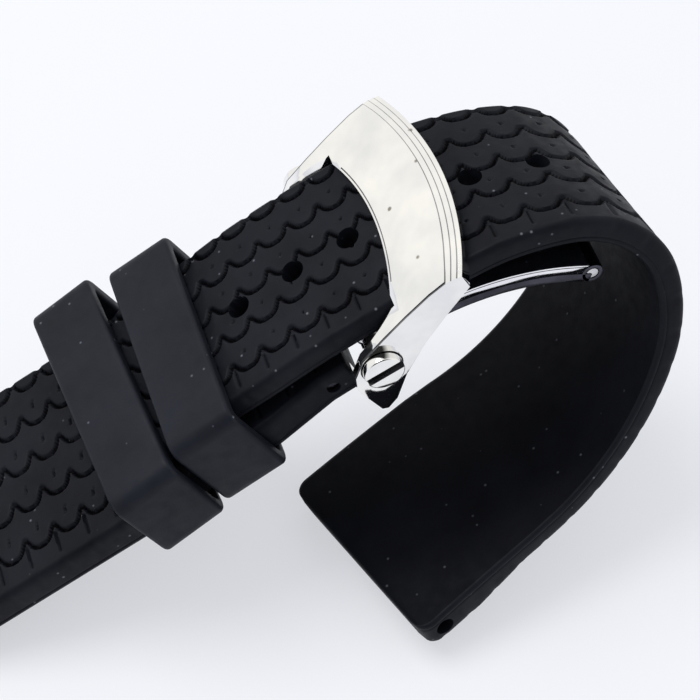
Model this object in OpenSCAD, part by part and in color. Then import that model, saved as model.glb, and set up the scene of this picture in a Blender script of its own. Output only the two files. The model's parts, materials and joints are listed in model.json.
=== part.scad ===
/* [Straps] */
// Width of both straps at their lug ends
lug_w = 22; // [20.6:0.2:24]
// Width of the long strap under the buckle plate
tail_w = 18.2; // [16:0.2:18.8]
// Thickness of the long strap
long_t = 2.5; // [2.2:0.1:2.8]
// Thickness of the long strap's lug end
lug_t = 3.4; // [3:0.1:4]
// Thickness of the short strap
short_t = 3.5; // [3.3:0.1:3.8]
// Width of the short strap at the clasp
short_w = 18; // [16:0.2:18.6]
// Step out from the short strap's width to its width beyond the fixed keeper
shoulder_step = 2; // [1.2:0.1:2.2]
// Bore of the spring bar tunnels in the lug ends
tunnel_d = 1.8; // [1.4:0.1:2]
// Distance of a tunnel axis from the end of its strap
tunnel_inset = 2.2; // [1.8:0.1:3]
// Diameter of the buckle holes in the long strap
hole_d = 2.2; // [2:0.1:2.6]
// Distance between neighbouring buckle holes
hole_pitch = 5.7; // [5.2:0.1:6]
// Chamfer along the strap edges
edge_c = 0.5; // [0.2:0.1:0.7]

/* [Tread] */
// Length of one scallop of the tread
tread_pitch = 3.14; // [2.8:0.02:3.4]
// Bulge of a scallop, as a share of the strap's half width
tread_bulge = 0.14; // [0.1:0.01:0.18]
// Depth of the tread's grooves
tread_depth = 0.4; // [0.2:0.05:0.5]
// Drop of a scale from its free edge to the groove behind it
tread_lift = 0.12; // [0:0.01:0.2]

/* [Keepers] */
// Length of a keeper along the strap
keeper_l = 6.6; // [5:0.1:7]
// Wall thickness of the keepers
keeper_wall = 1.45; // [1:0.05:1.6]
// Wall thickness of the keepers' underside
keeper_base = 1.05; // [0.9:0.05:1.4]
// Clearance between a keeper and the straps inside it
keeper_clear = 0.25; // [0.2:0.05:0.4]
// Outer corner radius of the keepers
keeper_r = 1.6; // [1.2:0.1:2.2]
// Distance from the buckle bar to the fixed keeper's centre
fixed_keeper_u = 16; // [15.4:0.1:17]
// Distance between the two keepers
keeper_gap = 1.3; // [1.2:0.05:2]
// Angle by which the free keeper sits askew
askew = 4; // [0:0.5:4.5]

/* [Clasp] */
// Thickness of each clasp blade
blade_t = 0.9; // [0.7:0.05:0.95]
// Width of the clasp blades
blade_w = 15.6; // [13:0.2:16]
// Gap between the folded blades
blade_gap = 0.15; // [0.1:0.05:0.25]
// Radius to which the upper blade is bent
blade_r = 22; // [21.5:0.5:25]
// Distance between the buckle bar and the blade hinge, along the clasp
hinge_x = 19.2; // [18:0.1:19.4]
// Diameter of the pin that joins the blades
hinge_pin_d = 1.1; // [0.9:0.05:1.2]
// Diameter of the tube that carries the buckle
bar_d = 1.5; // [1.4:0.05:1.6]
// Diameter of the pin that holds the short strap
strap_pin_d = 1.2; // [1:0.05:1.3]
// Wall of the sleeve round that pin
sleeve_wall = 0.25; // [0.2:0.05:0.3]
// Wall of the knuckles round the pins
knuckle_wall = 0.45; // [0.4:0.05:0.55]
// Running clearance on the radius of every clasp pin
pin_clear = 0.05; // [0.02:0.01:0.08]
// Width of the lower blade's barrel in the short strap
barrel_w = 8; // [6:0.2:10]
// Diameter of the latch stud
stud_d = 1.4; // [1.2:0.1:1.6]

/* [Buckle] */
// Clearance between the long strap and each arm of the buckle
frame_clear = 0.5; // [0.4:0.05:1.2]
// Thickness of the buckle's side arms
arm_t = 2; // [1.6:0.1:2]
// Thickness of the buckle plate
plate_t = 1.3; // [1:0.1:1.4]
// Height of the plate's top above the bar
plate_top = 5.6; // [5.5:0.1:6.4]
// Length of the plate along the strap at its middle
plate_l = 7.4; // [6.2:0.1:7.8]
// Distance from the bar to the plate's far edge
plate_reach = 12.8; // [12.2:0.1:13.2]
// Radius of the plate's far edge
plate_r = 30; // [27:0.5:34]
// Width of the bevel along the plate's far edge
plate_bevel = 1.1; // [0.6:0.1:1.4]
// Size of the boss round each screw
boss_r = 2.7; // [2.6:0.05:3]
// Diameter of the screw heads
screw_head_d = 3.7; // [3.4:0.1:3.8]
// Height of a screw head above the arm
screw_proud = 0.9; // [0.5:0.1:1.2]
// Depth of the recess under a screw head
screw_recess = 0.5; // [0.3:0.1:0.8]
// Diameter of the screw shanks
shank_d = 0.9; // [0.7:0.05:0.95]
// Diameter of the peg under the plate
peg_d = 1.6; // [1.3:0.1:1.8]

/* [Pose] */
// Rise of the clasp toward the loop, over the ground
incline = 26.8; // [26:0.1:28]
// Slope of the tail down to the keepers
tail_slope = 6.5; // [6.4:0.1:7]
// Slope of the short strap down from the clasp
short_slope = 2.3; // [2:0.1:2.5]

/* [Hidden] */
$fn = 64;
rubber = [0.07, 0.07, 0.08];
steel = [0.82, 0.82, 0.84];
// Length by which a cutting shape passes the faces that it cuts
past = 1;

// Clasp frame: origin on the buckle bar, X along the clasp to the loop, Y across, Z outward.
bar_knuckle_r = bar_d / 2 + pin_clear + knuckle_wall;
strap_z = bar_knuckle_r + 0.05;
blade_top = -0.9;
bend_x = 4;
bend_z = blade_top - blade_r;
lower_r = blade_r - blade_t - blade_gap;
stack_r = lower_r + blade_gap / 2;
hinge_a = asin((hinge_x - bend_x) / stack_r);
hinge_z = bend_z + stack_r * cos(hinge_a);
hinge_knuckle_r = hinge_pin_d / 2 + pin_clear + knuckle_wall;
hinge_notch_r = hinge_knuckle_r + 0.15;
knuckle_split = 4.2;
knuckle_play = 0.1;
strap_pin_x = -5.25;
strap_pin_z = blade_top - blade_t - blade_gap - blade_t / 2;
sleeve_r = strap_pin_d / 2 + pin_clear + sleeve_wall;
barrel_r = sleeve_r + pin_clear + knuckle_wall;
lower_start = -1.4;
stud_x = 3.6;
slot_start = stud_x - stud_d / 2 - 0.9;
slot_end = stud_x + 2.8;
slot_w = stud_d + 2;
arm_in = tail_w / 2 + frame_clear;
arm_out = arm_in + arm_t;
frame_w = 2 * arm_out;
bar_l = 2 * arm_in - 0.2;

// Distances along the long strap from the bar, and the strap's thickened or rounded ends
peg_u = 8.1;
hole_counts = [-4, -3, -2, -1, 0, 1, 2];
corner_r = 1.5;
tip_l = 7;
thicken_l = 12;

// A station is [point on the inner face, direction, width direction, distance from the bar].
// The outer face looks along cross(direction, width direction).
function unit(v) = v / norm(v);
function turned(v, k, a) = v * cos(a) + cross(k, v) * sin(a) + k * (k * v) * (1 - cos(a));
function next_station(s, ds, turn, twist) =
    let (d = unit(turned(s[1], s[2], turn)), w = unit(turned(s[2], d, twist)))
    [s[0] + unit(s[1] + d) * ds, d, w, s[3] + ds];

// A run is [length, turn, twist, steps]. A negative length goes back along the strap.
function steps(s, r, i = 0) =
    i >= r[3] ? [] :
    let (q = next_station(s, r[0] / r[3], r[1] / r[3], r[2] / r[3])) concat([q], steps(q, r, i + 1));
function chain(path, runs, i = 0) =
    i == len(runs) ? path : chain(concat(path, steps(path[len(path) - 1], runs[i])), runs, i + 1);
function reversed(list) = [for (i = [len(list) - 1 : -1 : 0]) list[i]];
function outward(s) = cross(s[1], s[2]);

// The station at distance u, on a path sorted by distance
function station_at(path, u) =
    let (k = max([for (i = [0 : len(path) - 2]) i == 0 || path[i][3] <= u ? i : 0]),
        a = path[k], b = path[k + 1], f = (u - a[3]) / (b[3] - a[3]),
        d = unit(a[1] + (b[1] - a[1]) * f), w = a[2] + (b[2] - a[2]) * f)
    [a[0] + (b[0] - a[0]) * f, d, unit(w - d * (d * w)), u];

function ramp(x, x0, x1) = min(1, max(0, (x - x0) / (x1 - x0)));
// What a rounded corner of radius r takes off the half width, at distance x from the end
function corner(x, r) = x >= r ? 0 : r - sqrt(r * r - (r - max(x, 0)) * (r - max(x, 0)));

// Long strap: back along the tail, and over the crest and round the loop to its lug end
tail_runs = [[-9, -tail_slope, 0, 5], [-11, 0, 0, 4], [-tip_l, 0, 0, 10]];
loop_runs = [
    [5, 0, 0, 2], [4.8, 8.6, 0, 3], [9.55, 25.7, -8.5, 7], [9.8, 68.6, -8.7, 14],
    [8.6, 38.3, -4.5, 9], [17.25, 43.2, -8, 11], [15.15, -3, -2.9, 6], [corner_r, 0, 0, 5]
];
bar_station = [[0, 0, strap_z], [1, 0, 0], [0, 1, 0], 0];
tail_path = chain([bar_station], tail_runs);
loop_path = chain([bar_station], loop_runs);
long_path = concat(reversed(tail_path), [for (i = [1 : len(loop_path) - 1]) loop_path[i]]);
long_start = long_path[0][3];
long_end = long_path[len(long_path) - 1][3];
long_lug = station_at(long_path, long_end - tunnel_inset);

// Short strap: straight from the clasp past the keepers, then curved to lie on the ground
short_head = 2.3;
short_flatten = 16;
short_straight = 20.5;
groove_step = 1;
short_runs = [
    [-6, 0, 0, 2], [-6, 0, 0, 3], [-5, 0, 0, 5], [-3, 0, 0, 3], [-short_straight, 0, 0, 4],
    [-short_flatten, incline + short_slope, 0, 9], [-11, 0, 0, 2], [-corner_r, 0, 0, 5]
];
short_start = [
    [strap_pin_x + short_head, 0, strap_pin_z - short_t / 2 + sin(short_slope) * short_head],
    [cos(short_slope), 0, sin(short_slope)], [0, 1, 0], strap_pin_x + short_head
];
short_path = reversed(chain([short_start], short_runs));
short_end = short_path[0][3];
short_top = strap_pin_x + short_head;
short_lug = station_at(short_path, short_end + tunnel_inset);
groove_w = short_w + 2 * groove_step;
shoulder_w = short_w + 2 * shoulder_step;
groove_end = fixed_keeper_u + keeper_l / 2 + 0.3;

// The origin lies on the axis of the short strap's spring bar tunnel.
lug_axis = short_lug[0] + outward(short_lug) * short_t / 2;
origin = [
    lug_axis[0] * cos(incline) - lug_axis[2] * sin(incline), 0,
    lug_axis[0] * sin(incline) + lug_axis[2] * cos(incline)
];

// Widths and thickness of the straps at distance u
function long_w(u) =
    let (x = u - long_start,
        w = tail_w + (lug_w - tail_w) * ramp(u, 14, 58) - 1.6 * ramp(-u, 9, -long_start),
        tip = x < tip_l ? sqrt(max(0.12, 1 - pow((tip_l - x) / tip_l, 2))) : 1)
    w * tip - 2 * corner(long_end - u, corner_r);
function long_thick(u) =
    long_t + (lug_t - long_t) * ramp(u, long_end - thicken_l, long_end - thicken_l / 2);
function short_width(u) =
    short_w + (groove_w - short_w) * ramp(-u, 6, 12)
        + (shoulder_w - groove_w) * ramp(-u, groove_end, groove_end + 0.8)
        + (lug_w - shoulder_w) * ramp(-u, 34, 44) - 2 * corner(u - short_end, corner_r);

// Heights that a keeper at distance u before the bar goes round
function short_under(u) = station_at(short_path, -u)[0][2];
function tail_over(u) = station_at(long_path, -u)[0][2] + long_t;
free_keeper_u = fixed_keeper_u + keeper_l + keeper_gap;
stack_slope = (tail_slope + short_slope) / 2;
slope_room = keeper_l / 2 * tan(tail_slope - short_slope);

// The tread's grooves run along the strap in scallops. Their places at the scallops' ends are given
// as shares of the strap's half width, and the phases are the distances of one scallop's end.
tread_rows = [1.02, 0.61, 0.2, -0.21, -0.63];
groove_half = 0.035;
long_phase = -2.2;
short_phase = -24.6;
function bulge(x) = tread_bulge * (1 - pow(abs(2 * (x / tread_pitch - floor(x / tread_pitch)) - 1), 4));

// Closed outline of a strap of width w and thickness t at distance x from a scallop's end. Its edges
// are chamfered, and its grooves have the share f of their depth.
function section(w, t, x, f) =
    let (c = w / 2 - edge_c, v = groove_half * c) concat(
        [[-c, 0], [c, 0], [w / 2, edge_c], [w / 2, t - edge_c], [c, t]],
        [for (row = tread_rows) let (y = c * min(0.96, row - bulge(x)))
            each [[y + v, t], [y, t - f * tread_depth], [y - v, t - f * tread_lift]]],
        [[-c, t], [-w / 2, t - edge_c], [-w / 2, edge_c]]
    );

function sorted(v) = len(v) < 2 ? v :
    let (m = v[floor(len(v) / 2)])
    concat(sorted([for (x = v) if (x < m) x]), [m], sorted([for (x = v) if (x > m) x]));

// Distances of a strap's sections: the stops, and between them three to each scallop
function tread_stations(stops, phase) =
    let (step = tread_pitch / 3, first = ceil((min(stops) - phase) / step),
        last = floor((max(stops) - phase) / step))
    sorted(concat(stops, [for (k = [first : last]) let (u = phase + k * step)
        if (min([for (s = stops) abs(s - u)]) > 0.15) u]));
long_stations = tread_stations([
    for (s = long_path) if (s[3] < long_start + tip_l + 0.01 || s[3] > long_end - corner_r - 0.01) s[3]
], long_phase);
short_stations = tread_stations(concat(
    [for (s = short_path) if (s[3] < short_end + corner_r + 0.01) s[3]],
    [-groove_end - 0.8, -groove_end, short_top]
), short_phase);
function ring(s, outline) = [for (q = outline) s[0] + s[2] * q[0] + outward(s) * q[1]];

// Sweeps rings of points into one closed body.
module ribbon(rings) {
    m = len(rings[0]);
    last = len(rings) - 1;
    sides = [for (i = [0 : last - 1]) for (j = [0 : m - 1]) for (f = [
        [i * m + j, (i + 1) * m + (j + 1) % m, i * m + (j + 1) % m],
        [i * m + j, (i + 1) * m + j, (i + 1) * m + (j + 1) % m]
    ]) f];
    ends = [[for (j = [0 : m - 1]) j], [for (j = [m - 1 : -1 : 0]) last * m + j]];
    polyhedron(points = [for (r = rings) for (p = r) p], faces = concat(sides, ends));
}

// Puts its children at a station, with X along the strap, Y across it and Z outward.
module at_station(s) {
    n = outward(s);
    multmatrix([
        [s[1][0], s[2][0], n[0], s[0][0]],
        [s[1][1], s[2][1], n[1], s[0][1]],
        [s[1][2], s[2][2], n[2], s[0][2]]
    ]) children();
}

// Tilts the clasp frame to its pose and moves it to the part's origin.
module placed() translate(-origin) rotate([0, -incline, 0]) children();

// Rod across the strap, centred
module cross_rod(r, l) rotate([90, 0, 0]) cylinder(r = r, h = l, center = true);

module both_sides() for (m = [0, 1]) mirror([0, m, 0]) children();

module long_strap() color(rubber) placed() difference() {
    ribbon([for (u = long_stations) let (f = ramp(min(u - long_start, long_end - u), 0, 1))
        ring(station_at(long_path, u), section(long_w(u), long_thick(u), u - long_phase, f))]);
    for (k = hole_counts)
        at_station(station_at(long_path, peg_u + k * hole_pitch))
            translate([0, 0, -past]) cylinder(d = hole_d, h = long_t + 2 * past);
    at_station(long_lug) translate([0, 0, lug_t / 2]) cross_rod(tunnel_d / 2, lug_w + 2 * past);
}

module short_strap() color(rubber) placed() difference() {
    union() {
        ribbon([for (u = short_stations) let (f = ramp(min(u - short_end, short_top - u), 0, 1))
            ring(station_at(short_path, u), section(short_width(u), short_t, u - short_phase, f))]);
        keeper_stop();
    }
    translate([strap_pin_x, 0, strap_pin_z]) cross_rod(strap_pin_d / 2 + pin_clear, short_w + 2 * past);
    translate([strap_pin_x - barrel_r - 0.3, -barrel_w / 2 - 0.3, strap_pin_z - short_t])
        cube([short_head + barrel_r + 2 * past, barrel_w + 0.6, 2 * short_t]);
    at_station(short_lug) translate([0, 0, short_t / 2]) cross_rod(tunnel_d / 2, lug_w + 2 * past);
}

// Rib under the short strap that keeps the fixed keeper in its groove
module keeper_stop() {
    stop_l = 1;
    at_station(station_at(short_path, -fixed_keeper_u + keeper_l / 2 + stop_l))
        translate([-stop_l / 2, -short_w / 2 + 1, -0.7]) cube([stop_l, short_w - 2, 1.2]);
}

module rounded_rect(x, y, r) {
    square([x - 2 * r, y], center = true);
    square([x, y - 2 * r], center = true);
    for (i = [-1, 1], j = [-1, 1]) translate([i * (x / 2 - r), j * (y / 2 - r)]) circle(r);
}

// Keeper loop with an opening of width w, round the straps at distance u before the bar
module keeper(u, w, yaw) {
    mid = (short_under(u) + tail_over(u)) / 2;
    h = tail_over(u) - short_under(u) + 2 * keeper_clear + slope_room;
    translate([-u, 0, mid]) rotate([0, -stack_slope, yaw]) rotate([90, 0, 90])
        linear_extrude(keeper_l, center = true) difference() {
            translate([0, (keeper_wall - keeper_base) / 2])
                rounded_rect(w + 2 * keeper_wall, h + keeper_wall + keeper_base, keeper_r);
            rounded_rect(w, h, 0.4);
        }
}

module fixed_keeper() color(rubber) placed() keeper(fixed_keeper_u, groove_w + 2 * keeper_clear, 0);

module free_keeper() color(rubber) placed()
    keeper(free_keeper_u, shoulder_w + 2 * keeper_clear + keeper_l * sin(askew), askew);

module strap_pin() color(steel) placed() translate([strap_pin_x, 0, strap_pin_z])
    cross_rod(strap_pin_d / 2, short_w - 0.8);

module strap_pin_sleeve() color(steel) placed() translate([strap_pin_x, 0, strap_pin_z])
    difference() {
        cross_rod(sleeve_r, barrel_w);
        cross_rod(strap_pin_d / 2 + pin_clear, barrel_w + past);
    }

// Bent part of a blade between two radii about the bend's centre, up to the hinge
module bent_sheet(r_in, r_out) translate([bend_x, 0, bend_z]) rotate([90, 0, 0])
    rotate([0, 0, 90]) mirror([0, 1, 0]) rotate_extrude(angle = hinge_a)
        translate([r_in, -blade_w / 2]) square([r_out - r_in, blade_w]);

// Puts rods round the hinge axis on both sides, from y0 out to y1
module side_rods(r, y0, y1) both_sides() translate([hinge_x, (y0 + y1) / 2, hinge_z])
    cross_rod(r, y1 - y0);

module lower_blade() color(steel) placed() difference() {
    union() {
        difference() {
            bent_sheet(lower_r - blade_t, lower_r);
            translate([hinge_x, 0, hinge_z])
                cross_rod(hinge_notch_r, 2 * knuckle_split + knuckle_play);
        }
        side_rods(hinge_knuckle_r, knuckle_split, blade_w / 2);
        translate([lower_start, -blade_w / 2, strap_pin_z - blade_t / 2])
            cube([bend_x - lower_start, blade_w, blade_t]);
        translate([strap_pin_x, -barrel_w / 2, strap_pin_z - blade_t / 2])
            cube([lower_start - strap_pin_x, barrel_w, blade_t]);
        translate([strap_pin_x, 0, strap_pin_z]) cross_rod(barrel_r, barrel_w);
    }
    translate([strap_pin_x, 0, strap_pin_z]) cross_rod(sleeve_r + pin_clear, barrel_w + past);
    translate([hinge_x, 0, hinge_z]) cross_rod(hinge_pin_d / 2 + pin_clear, blade_w + past);
    translate([stud_x, 0, strap_pin_z - blade_t]) cylinder(d = stud_d + 0.04, h = 2 * blade_t);
}

module latch_stud() color(steel) placed() translate([stud_x, 0, strap_pin_z - blade_t / 2])
    cylinder(d = stud_d, h = 2 * blade_t + blade_gap - 0.1);

module hinge_pin() color(steel) placed() translate([hinge_x, 0, hinge_z])
    cross_rod(hinge_pin_d / 2, blade_w - 0.2);

module upper_blade() color(steel) placed() difference() {
    union() {
        difference() {
            bent_sheet(blade_r - blade_t, blade_r);
            side_rods(hinge_notch_r, knuckle_split - 1.5 * knuckle_play, blade_w / 2 + past);
        }
        translate([hinge_x, 0, hinge_z])
            cross_rod(hinge_knuckle_r, 2 * (knuckle_split - knuckle_play));
        translate([0, -blade_w / 2, blade_top - blade_t]) cube([bend_x, blade_w, blade_t]);
        cross_rod(bar_knuckle_r, blade_w);
    }
    cross_rod(bar_d / 2 + pin_clear, blade_w + past);
    translate([hinge_x, 0, hinge_z]) cross_rod(hinge_pin_d / 2 + pin_clear, blade_w + past);
    translate([slot_start, -slot_w / 2, blade_top - blade_t - past])
        cube([slot_end - slot_start, slot_w, blade_t + 2 * past]);
}

// Catch that grips the stud from the hinge side, on a tongue in the upper blade's slot
module latch_spring() color(steel) placed()
    translate([stud_x, 0, blade_top - blade_t + 0.15]) linear_extrude(blade_t - 0.3) {
        difference() {
            circle(stud_d / 2 + 0.55);
            circle(stud_d / 2 + pin_clear);
            translate([-3, -3]) square([3, 6]);
        }
        translate([stud_d / 2 + 0.3, -0.5]) square([slot_end - stud_x - stud_d / 2 - 0.3, 1]);
    }

// Side outline of the buckle frame: under the plate's end, over the plate, and round the boss to its foot
frame_outline = [
    [plate_reach - 1.9, plate_top - 2], [plate_reach + past, plate_top - 1.95],
    [plate_reach + past, plate_top], [plate_reach - 3, plate_top],
    [plate_reach - 5.6, plate_top - 0.55], [plate_reach - 8.4, plate_top - 1.5],
    [0.6 * boss_r, 1.1 * boss_r], [-0.37 * boss_r, 0.69 * boss_r], [-0.93 * boss_r, 0.11 * boss_r],
    [-1.15 * boss_r, -0.48 * boss_r], [-2.5, -5.2], [-2, -5.5], [-0.8, -4.9], [1.3, -2.6], [4.5, -0.1],
    [plate_reach - 4.8, plate_top - 3.6]
];

// Room for the strap between the arms, under the plate
under_outline = [
    [-10, -10], [-10, strap_z + long_t + 0.1], [4.4, strap_z + long_t + 0.1],
    [plate_reach - 3.8, plate_top - plate_t], [20, plate_top - plate_t], [20, -10]
];
inner_r = 24;

// Draws an outline in X and Z out across the strap, centred
module across(l, outline) rotate([90, 0, 0]) linear_extrude(l, center = true) polygon(outline);

module buckle_frame() color(steel) placed() difference() {
    across(frame_w, frame_outline);
    across(2 * arm_in, under_outline);
    intersection() {
        translate([plate_reach - plate_l - inner_r, 0, 0]) cylinder(r = inner_r, h = 2 * plate_top);
        translate([-10, -arm_in, 0]) cube([30, 2 * arm_in, 2 * plate_top]);
    }
    translate([plate_reach - plate_r, 0, 0]) rotate_extrude() polygon([
        [plate_r - plate_bevel, plate_top], [plate_r, plate_top - 0.6], [plate_r, 0],
        [2 * plate_r, 0], [2 * plate_r, 2 * plate_top], [plate_r - plate_bevel, 2 * plate_top]
    ]);
    cross_rod(shank_d / 2 + pin_clear, frame_w + past);
    both_sides() translate([0, arm_out + past / 2 - screw_recess / 2, 0])
        cross_rod(screw_head_d / 2 + 0.1, screw_recess + past);
    translate([peg_x, 0, 0]) cylinder(d = peg_d + 0.04, h = plate_top - plate_t / 2 + 0.02);
}

module frame_bar() color(steel) placed() difference() {
    cross_rod(bar_d / 2, bar_l);
    cross_rod(shank_d / 2 + pin_clear, bar_l + past);
}

// The peg stands in the strap's hole and is riveted into the plate.
peg_station = station_at(long_path, peg_u);
peg_x = peg_station[0][0] + outward(peg_station)[0] * long_t / 2;
module buckle_peg() color(steel) placed() translate([peg_x, 0, strap_z - 0.4])
    cylinder(d = peg_d, h = plate_top - plate_t / 2 - strap_z + 0.4);

// Slotted screws that hold the arms on the tube
module bar_screws() color(steel) placed() both_sides() difference() {
    union() {
        translate([0, arm_out + (screw_proud - screw_recess) / 2, 0])
            cross_rod(screw_head_d / 2, screw_proud + screw_recess);
        translate([0, arm_out - 3, 0]) cross_rod(shank_d / 2, 6);
    }
    translate([-screw_head_d / 2 - past, arm_out + screw_proud - 0.5, -0.3])
        cube([screw_head_d + 2 * past, past, 0.6]);
}

short_strap();
fixed_keeper();
free_keeper();
strap_pin();
strap_pin_sleeve();
lower_blade();
latch_stud();
hinge_pin();
upper_blade();
latch_spring();
long_strap();
buckle_frame();
frame_bar();
buckle_peg();
bar_screws();
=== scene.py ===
import json
import math

import bmesh
import bpy
import numpy as np
from mathutils import Matrix, Vector


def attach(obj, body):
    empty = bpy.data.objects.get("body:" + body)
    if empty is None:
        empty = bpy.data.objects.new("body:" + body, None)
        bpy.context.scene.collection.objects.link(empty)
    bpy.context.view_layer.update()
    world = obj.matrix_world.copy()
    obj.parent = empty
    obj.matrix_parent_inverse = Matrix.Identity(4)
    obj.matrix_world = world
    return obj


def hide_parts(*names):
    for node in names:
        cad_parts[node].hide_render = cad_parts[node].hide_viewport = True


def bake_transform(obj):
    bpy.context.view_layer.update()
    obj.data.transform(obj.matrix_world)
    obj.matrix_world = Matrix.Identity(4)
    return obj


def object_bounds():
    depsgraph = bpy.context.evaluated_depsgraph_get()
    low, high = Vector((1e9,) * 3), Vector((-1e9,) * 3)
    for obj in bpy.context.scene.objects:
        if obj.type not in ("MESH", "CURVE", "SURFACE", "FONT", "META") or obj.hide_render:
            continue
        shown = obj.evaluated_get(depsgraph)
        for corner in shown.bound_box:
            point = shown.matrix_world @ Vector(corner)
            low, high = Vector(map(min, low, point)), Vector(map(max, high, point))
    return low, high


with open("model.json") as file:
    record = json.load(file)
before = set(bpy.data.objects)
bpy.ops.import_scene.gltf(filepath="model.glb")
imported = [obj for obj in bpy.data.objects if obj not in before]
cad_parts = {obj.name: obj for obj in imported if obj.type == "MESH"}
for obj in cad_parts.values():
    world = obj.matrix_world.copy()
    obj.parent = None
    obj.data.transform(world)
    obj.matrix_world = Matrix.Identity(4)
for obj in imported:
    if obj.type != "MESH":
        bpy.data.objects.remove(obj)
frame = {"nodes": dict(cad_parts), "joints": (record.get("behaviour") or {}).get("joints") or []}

# Sizes are in millimetres in the clasp frame, and MM turns them into the scene's metres.
MM = 0.001
CAD_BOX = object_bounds()
JOINTS = {joint["name"]: joint for joint in frame["joints"]}
BAR = Vector(JOINTS["buckle_swing"]["pos_m"])
INCLINE = 26.8
# The clasp frame: origin on the buckle bar, X along the clasp to the loop, Y across, Z outward
CLASP = Matrix.Translation(BAR) @ Matrix.Rotation(math.radians(-INCLINE), 4, "Y")
# Edges sharper than these angles are kept sharp, on plain solids, on steel and on the straps.
SOLID_SMOOTH, STEEL_SMOOTH, STRAP_SMOOTH = 35, 30, 60

# Straps: thicknesses, widths, and the stretches over which the widths change
LONG_T, LUG_T, SHORT_T = 2.5, 3.4, 3.5
LUG_W, TAIL_W, SHORT_W, GROOVE_W = 22.0, 18.2, 18.0, 20.0
LONG_FLARE, SHORT_FLARE, SHOULDER_L = (14, 58), (6, 12), 0.8
TAIL_TAPER, TAPER_START = 1.6, 9
CORNER_R, TIP_L, TIP_BLUNT, THICKEN_L = 1.5, 7.0, 0.12, 12.0
EDGE_C, END_R, CROWN_DROP = 0.5, 0.3, 0.04
TUNNEL_D, TUNNEL_INSET, TUNNEL_CUTTER_L = 1.8, 2.2, 26
HOLE_D, HOLE_PITCH, PEG_U, HOLE_CUTTER_L = 2.2, 5.7, 8.1, 8
HOLE_COUNTS = range(-4, 3)
STRAP_Z = 1.3
BAR_STATION = ((0, 0, STRAP_Z), (1, 0, 0), (0, 1, 0), 0)
# Distance between a strap's rings of points, and how many points of a ring are on the tread
STEP, TOP_COUNT = 0.165, 140
# Each run of a strap is length, turn and twist, and a negative length goes back along it.
TAIL_RUNS = [(-9, -6.5, 0), (-18, 0, 0)]
LOOP_RUNS = [
    (5, 0, 0), (4.8, 8.6, 0), (9.55, 25.7, -8.5), (9.8, 68.6, -8.7),
    (8.6, 38.3, -4.5), (17.25, 43.2, -8), (15.15, -3, -2.9), (1.5, 0, 0)
]
SHORT_SLOPE, SHORT_HEAD = 2.3, 2.3
SHORT_RUNS = [(-40.5, 0, 0), (-16, INCLINE + SHORT_SLOPE, 0), (-12.5, 0, 0)]
# Section of a strap's side, as inset from the edge and height, and then up to the tread's edge, as
# inset and distance below the crown
SIDE = [(0.4, 0.0), (0.12, 0.07), (0.02, 0.3), (0.0, 0.5), (0.07, 0.58), (0.02, 0.68), (0.0, 0.9)]
SHOULDER = [(0.0, 1.15), (0.02, 0.75), (0.1, 0.42), (0.28, 0.18)]

# Tread: scalloped grooves. The rows and the bulge are shares of the strap's half width.
TREAD_ROWS = [1.02, 0.61, 0.2, -0.21, -0.63]
TREAD_PITCH, TREAD_BULGE, TREAD_POWER, TREAD_ROUND = 3.14, 0.14, 4.0, 0.2
TREAD_DEPTH, TREAD_LIFT, LIFT_POWER, GROOVE_SIDE = 0.4, 0.12, 1.5, (0.08, 0.25)
LONG_PHASE, SHORT_PHASE = -2.2, -24.6
# The tread fades away over this stretch at a strap's ends. Faces below this share of a groove's depth get
# the grooves' painted shade.
END_FADE, GROOVE_SHARE = (0.3, 2.5), 0.4
# Pips on the scales: half lengths, depth, side, lean, and distance from the line of the row's groove
LONG_PIP, SHORT_PIP = 0.06, 0.36
PIP_DEPTH, PIP_SIDE, PIP_LEAN, PIP_OFF = 0.26, (0.05, 0.17), 0.2, 0.7
# Slits between the lobes on both edges of a strap: half widths, depths, and the stretches over which they
# begin, from the last row, or end, from the strap's edge. Then how far the edge draws in at a slit.
SLIT_SIDE, NEAR_SLIT, FAR_SLIT = (0.04, 0.2), 0.26, 0.3
SLIT_START, SLIT_EDGE = (0.2, 1), (0.9, 0.3)
NOTCH_DEPTH, NOTCH_SIDE, NEAR_NOTCH = 0.2, (0.06, 0.55), 0.3

# Keepers, and the rib under the short strap that stops the fixed one
KEEPER_L, KEEPER_WALL, KEEPER_BASE, KEEPER_CLEAR = 6.6, 1.45, 1.05, 0.25
KEEPER_R, KEEPER_INNER_R, KEEPER_ROUND = 1.6, 0.4, 0.45
FIXED_KEEPER_U, KEEPER_GAP, ASKEW, GROOVE_SPARE = 16.0, 1.3, 4.0, 0.3
TAIL_SLOPE = 6.5
RIB_L, RIB_DOWN, RIB_UP, RIB_INSET, RIB_OFF, RIB_ROUND = 1.0, 0.7, 0.5, 1, 1, 0.25

# Clasp: bent blades, the hinge at their end, and the barrel at the short strap's pin
BLADE_T, BLADE_W, BLADE_GAP, BLADE_R, BLADE_ROUND = 0.9, 15.6, 0.15, 22.0, 0.08
BLADE_TOP, BEND_X, HINGE_X, BEND_COUNT = -0.9, 4.0, 19.2, 40
BAR_KNUCKLE_R, HINGE_KNUCKLE_R, HINGE_NOTCH_R = 1.25, 1.05, 1.2
KNUCKLE_SPLIT, OUTER_ROOM, MIDDLE_GAP, MIDDLE_ROOM = 4.2, 0.05, 0.1, 0.15
HINGE_PIN_D, BAR_D, PIN_CLEAR, OVERLAP = 1.1, 1.5, 0.05, 0.05
STRAP_PIN_X, PIN_BORE_R, PIN_BORE_REACH = -5.25, 0.65, 12
BARREL_W, BARREL_R, BARREL_BORE_R, BARREL_CLEAR, BARREL_CUTTER_H = 8.0, 1.4, 0.95, 0.3, 10
LOWER_START, TONGUE_END = -1.4, -1.3
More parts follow.
